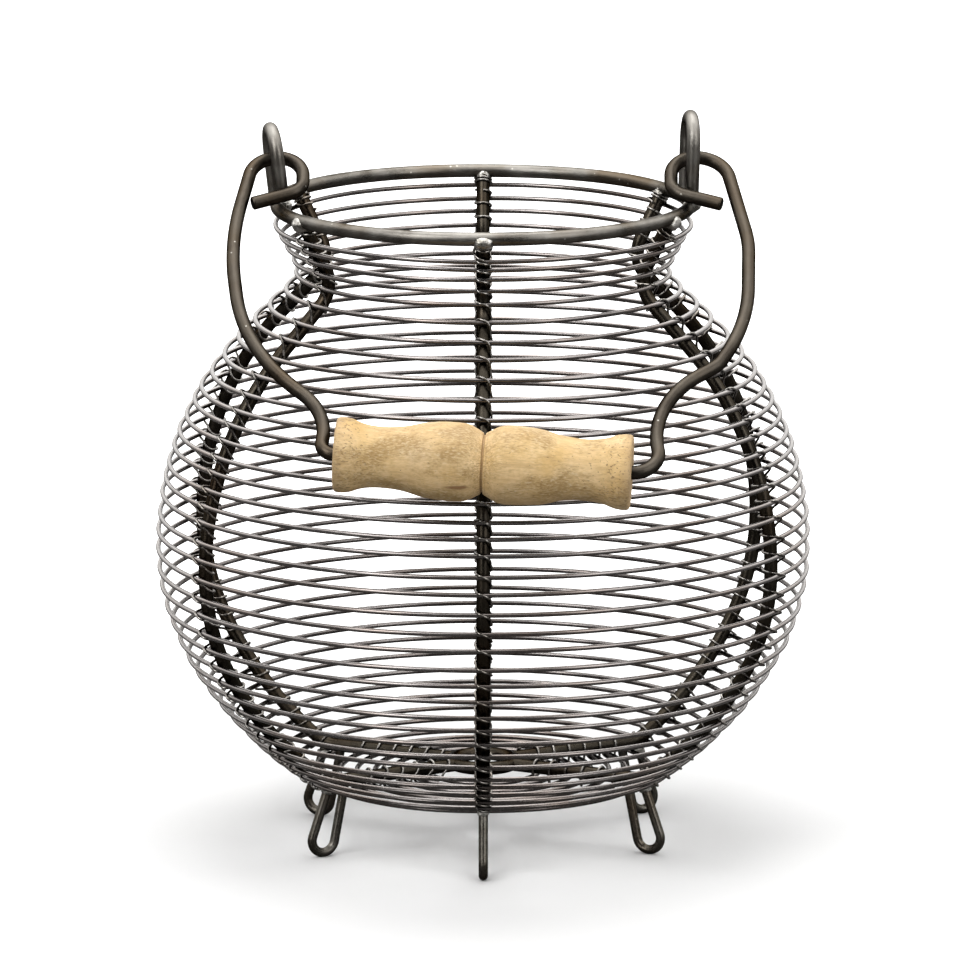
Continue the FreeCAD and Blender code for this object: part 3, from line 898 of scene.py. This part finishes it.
def smooth_curve(knots, per_gap):
    """A centripetal Catmull-Rom curve through the knots."""
    knots = [np.array(k, float) for k in knots]
    knots = [2 * knots[0] - knots[1]] + knots + [2 * knots[-1] - knots[-2]]
    found = []
    for p0, p1, p2, p3 in zip(knots, knots[1:], knots[2:], knots[3:]):
        t1 = np.linalg.norm(p1 - p0) ** 0.5
        t2 = t1 + np.linalg.norm(p2 - p1) ** 0.5
        t3 = t2 + np.linalg.norm(p3 - p2) ** 0.5
        for i in range(per_gap):
            t = t1 + (t2 - t1) * i / per_gap
            a1 = p0 * (t1 - t) / t1 + p1 * t / t1
            a2 = p1 * (t2 - t) / (t2 - t1) + p2 * (t - t1) / (t2 - t1)
            a3 = p2 * (t3 - t) / (t3 - t2) + p3 * (t - t2) / (t3 - t2)
            b1 = a1 * (t2 - t) / t2 + a2 * t / t2
            b2 = a2 * (t3 - t) / (t3 - t1) + a3 * (t - t1) / (t3 - t1)
            found.append(b1 * (t2 - t) / (t2 - t1) + b2 * (t - t1) / (t2 - t1))
    found.append(knots[-2])
    return found


def grip_outline():
    """The grip's whole outline (distance along it, radius), over the outside and back through the bore."""
    half = smooth_curve(half_profile(), 9)
    mouth = [(GRIP_HALF - 0.02, 5.2), (GRIP_HALF - 0.05, 2.7), (GRIP_HALF - 0.5, BORE + 0.06),
             (GRIP_HALF - 3.0, BORE), (GRIP_HALF - 12.0, BORE), (0.0, BORE)]
    right = half + [np.array(point) for point in mouth]
    return right + [np.array((-point[0], point[1])) for point in reversed(right[1:-1])]


def turned_radius(x, radius, way):
    """The outline's radius with the lathe's ripples and small dents; the bore stays round."""
    if radius <= BORE + 0.5:
        return radius
    dents = noise.noise(Vector((x / 7.0, 0, 0)) + way * 1.1)
    ripples = noise.noise(Vector((x / 1.1, 0, 0)) + way * 0.25)
    return radius + 0.11 * dents + 0.035 * ripples


def add_turned(shape, outline, sides):
    """Turns a closed outline round the x axis."""
    points, faces, uvs = [], [], []
    for x, radius in outline:
        for j in range(sides):
            angle = 2 * math.pi * j / sides
            way = Vector((0, math.cos(angle), math.sin(angle)))
            real = turned_radius(x, radius, way)
            points.append((x, real * way[1], real * way[2]))
    count = len(outline)
    girth = 0.06
    for i in range(count):
        after = (i + 1) % count
        for j in range(sides):
            k = (j + 1) % sides
            faces.append((i * sides + j, after * sides + j, after * sides + k, i * sides + k))
            for a, b in ((i, j), (after, j), (after, k), (i, k)):
                uvs += [outline[a][0] * MM, b / sides * girth]
    shape.add(np.array(points), faces, uvs, [False] * len(faces))


def make_grip():
    """The turned grip, made along x and then laid along its joint's axis."""
    shape = Shape()
    add_turned(shape, grip_outline(), 96)
    grip = shape.piece("turned_grip", wood, "grip", ["wooden_grip"])
    axis = Vector(GRIP_AXIS).normalized()
    back = Vector((0, 0, 1)).cross(axis).normalized()
    up = axis.cross(back).normalized()
    laid = Matrix((axis, back, up)).transposed().to_4x4()
    laid.translation = Vector(GRIP_MIDDLE) * MM
    grip.matrix_world = laid
    # it rides again, now from where it lies
    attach(grip, "grip")


# ---------------------------------------------------------------- build

make_rim()
for rib in RIB_NAMES:
    make_rib(rib)
    make_lashing(rib)
    make_foot(rib)
make_centre_ring()
make_hoops()
make_ear("left", -1, -57.0, 10.0, 6.5)
make_ear("right", 1, 57.3, 6.0, 1.5)
make_bail()
make_grip()

# ---------------------------------------------------------------- studio


def studio_floor():
    """Plain pale paper, lit up to an even white far from the object and duller to reflections."""
    mat = Recipe("studio_floor")
    seen = mat.node("ShaderNodeLightPath").outputs["Is Camera Ray"]
    paper = mat.noise(mat.place("Object"), 14.0, detail=3.0)
    pale = mat.mix(mat.spread(paper, 0.3, 0.7), (0.86, 0.86, 0.86), (0.88, 0.88, 0.875))
    colour = mat.mix(seen, (0.14, 0.135, 0.13), pale)
    far = mat.node("ShaderNodeVectorMath", operation="LENGTH")
    mat.link(mat.place("Object"), far.inputs[0])
    bright = mat.math("MULTIPLY", mat.spread(far.outputs["Value"], 0.12, 0.45), seen)
    material = mat.finish({"Base Color": colour, "Roughness": 0.9,
                           "Emission Color": (1.0, 1.0, 1.0, 1.0), "Emission Strength": bright})
    mesh = bpy.data.meshes.new("floor")
    half = 6.0
    corners = [(-half, -half, 0), (half, -half, 0), (half, half, 0), (-half, half, 0)]
    mesh.from_pydata(corners, [], [(0, 1, 2, 3)])
    mesh.materials.append(material)
    floor = bpy.data.objects.new("floor", mesh)
    bpy.context.scene.collection.objects.link(floor)


SOFT = "SMOOTHSTEP"


def view_directions(sky):
    """The parts of a reflection's direction as the camera sees it: across, above and ahead."""
    way = sky.node("ShaderNodeVectorTransform", vector_type="VECTOR",
                   convert_from="WORLD", convert_to="CAMERA")
    sky.link(sky.node("ShaderNodeTexCoord").outputs["Generated"], way.inputs[0])
    split = sky.node("ShaderNodeSeparateXYZ")
    sky.link(way.outputs[0], split.inputs[0])
    return split.outputs


def soft_box(sky, sideways, above, middle, strength):
    """A tall soft box beside the camera; middle is how far round it stands, in radians."""
    off = sky.math("ABSOLUTE", sky.math("SUBTRACT", sideways, middle))
    width = sky.math("MULTIPLY", sky.spread(off, 0.17, 0.10, easing=SOFT), strength)
    off_level = sky.math("ABSOLUTE", sky.math("SUBTRACT", above, 0.18))
    return sky.math("MULTIPLY", width, sky.spread(off_level, 0.62, 0.5, easing=SOFT))


def background(sky, colour, strength):
    """Plain light of one colour from all round."""
    shader = sky.node("ShaderNodeBackground")
    sky.feed(shader, {"Color": (*colour, 1.0), "Strength": strength})
    return shader.outputs[0]


def chosen(sky, choice, first, second):
    """The second shader where choice is 1, the first elsewhere."""
    mixed = sky.node("ShaderNodeMixShader")
    sky.feed(mixed, {0: choice, 1: first, 2: second})
    return mixed.outputs[0]


def studio_world():
    """White behind the object and darker behind the camera, with two soft boxes and a top light."""
    world = bpy.data.worlds.new("studio")
    bpy.context.scene.world = world
    world.use_nodes = True
    sky = Nodes(world.node_tree, "ShaderNodeOutputWorld")
    across, above, ahead = view_directions(sky)
    behind_object = sky.spread(ahead, -0.35, 0.45, 0.09, 1.8, easing=SOFT)
    sideways = sky.math("ARCTAN2", across, sky.math("MULTIPLY", ahead, -1.0))
    left_box = soft_box(sky, sideways, above, -0.65, 5.0)
    right_box = soft_box(sky, sideways, above, 0.65, 3.4)
    boxes = sky.math("ADD", left_box, right_box)
    top = sky.math("MULTIPLY", sky.spread(above, 0.40, 0.60, easing=SOFT), 2.7)
    light = sky.math("ADD", sky.math("ADD", behind_object, boxes), top)
    reflected = background(sky, (1.0, 0.985, 0.965), light)
    even = background(sky, (0.8, 0.8, 0.8), 0.85)
    seen = background(sky, (1.0, 1.0, 1.0), 1.0)
    paths = sky.node("ShaderNodeLightPath")
    unseen = chosen(sky, paths.outputs["Is Glossy Ray"], even, reflected)
    surface = chosen(sky, paths.outputs["Is Camera Ray"], unseen, seen)
    sky.link(surface, sky.output.inputs["Surface"])


def area_light(name, place, target, size, power):
    """A round soft light; size in metres, power in watts."""
    light = bpy.data.lights.new(name, "AREA")
    light.shape = "DISK"
    light.size = size
    light.energy = power
    holder = bpy.data.objects.new(name, light)
    holder.location = place
    holder.rotation_euler = (Vector(target) - Vector(place)).to_track_quat("-Z", "Y").to_euler()
    bpy.context.scene.collection.objects.link(holder)


def studio_camera():
    """Stands well back and a little above, with a long lens."""
    distance = 2.2
    elevation = math.radians(11.6)
    camera = bpy.data.cameras.new("camera")
    camera.sensor_width = 36.0
    camera.lens = 292.9
    holder = bpy.data.objects.new("camera", camera)
    aim = Vector((-0.0009, 0.0, 0.1027))
    back = Vector((0.0, -math.cos(elevation), math.sin(elevation)))
    holder.location = aim + back * distance
    holder.rotation_euler = (-back).to_track_quat("-Z", "Y").to_euler()
    bpy.context.scene.collection.objects.link(holder)
    bpy.context.scene.camera = holder


studio_floor()
studio_world()
BODY_MIDDLE = (0, 0, 0.1)
area_light("key_light", (-0.9, -1.2, 1.3), BODY_MIDDLE, 0.9, 13.0)
area_light("fill_light", (1.2, -1.0, 0.8), BODY_MIDDLE, 1.0, 7.0)
area_light("top_light", (0.0, 0.3, 1.6), BODY_MIDDLE, 1.2, 14.0)
studio_camera()
bpy.context.scene.view_settings.view_transform = "Standard"
